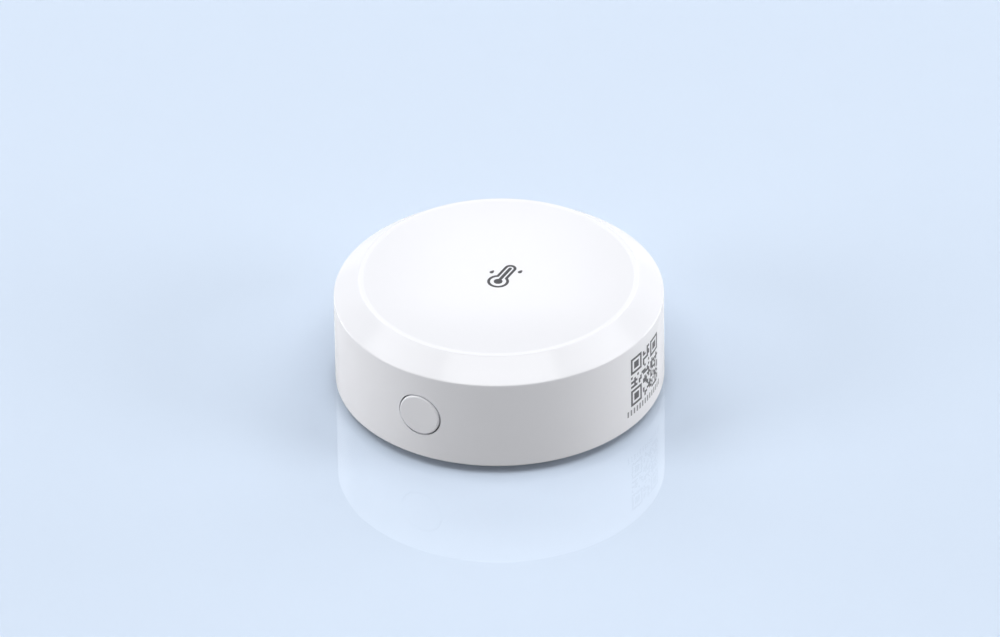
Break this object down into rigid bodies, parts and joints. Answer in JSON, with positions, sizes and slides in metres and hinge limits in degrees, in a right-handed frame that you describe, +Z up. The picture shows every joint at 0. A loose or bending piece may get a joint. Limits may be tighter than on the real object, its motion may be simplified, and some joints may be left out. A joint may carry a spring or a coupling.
{
  "type": "temperature humidity sensor",
  "caption": "Round white room sensor for temperature and humidity: a low puck with a dished top, sloping shoulder, side push button and a coin cell behind a twist-off door underneath.",
  "frame": {"origin": "on the table, at the centre of the ring that the puck stands on", "axes": "+Z up along the puck's axis, -Y out through the push button, +X out through the printed code on the wall"},
  "size_m": [0.045, 0.0451, 0.0171],
  "materials": {
    "white_plastic": "fine moulded satin",
    "foot_rubber": "matt",
    "door_foam": "matt foam",
    "screw_steel": "zinc plated",
    "cell_steel": "bright nickel",
    "cell_seal": "moulded",
    "holder_plastic": "moulded",
    "contact_metal": "nickel plated",
    "circuit_board": "solder mask",
    "chip_resin": "moulded resin",
    "filter_membrane": "porous film",
    "tinned_sheet": "tinned",
    "copper_track": "bare copper",
    "capacitor_ceramic": "fired ceramic",
    "led_resin": "clear resin",
    "switch_plastic": "moulded",
    "stem_plastic": "moulded"
  },
  "bodies": {
    "housing": {"upper_shell": "white_plastic", "base_cover": "white_plastic", "base_screws": "screw_steel", "foot_pad": "foot_rubber", "coin_cell_can": "cell_steel", "coin_cell_seal": "cell_seal", "coin_cell_cap": "cell_steel", "battery_holder": "holder_plastic", "positive_contact": "contact_metal", "negative_contact": "contact_metal", "main_board": "circuit_board", "board_screws": "screw_steel", "sensor_chip": "chip_resin", "sensor_filter": "filter_membrane", "radio_board": "circuit_board", "radio_chip": "chip_resin", "radio_shield": "tinned_sheet", "antenna_track": "copper_track", "crystal": "tinned_sheet", "capacitors": "capacitor_ceramic", "resistors": "chip_resin", "status_led": "led_resin", "switch_housing": "switch_plastic", "switch_leaf": "contact_metal", "switch_cover": "tinned_sheet", "switch_terminals": "tinned_sheet"},
    "door": {"battery_door": "white_plastic", "door_pad": "door_foam"},
    "button": {"side_button": "white_plastic"},
    "stem": {"switch_stem": "stem_plastic"}
  },
  "joints": [
    {"name": "door_turn", "type": "hinge", "parent": "housing", "child": "door", "pos_m": [0, 0, 0.0012], "axis": [0, 0, -1], "range_deg": [0, 40]},
    {"name": "button_press", "type": "slide", "parent": "housing", "child": "button", "axis": [0, 1, 0], "range_m": [0, 0.0003], "stiffness_N_per_m": 4000},
    {"name": "stem_press", "type": "slide", "parent": "housing", "child": "stem", "axis": [0, 1, 0], "range_m": [0, 0.0003]}
  ],
  "couplings": [
    {"joint": "stem_press", "follows": "button_press", "ratio": 1}
  ]
}
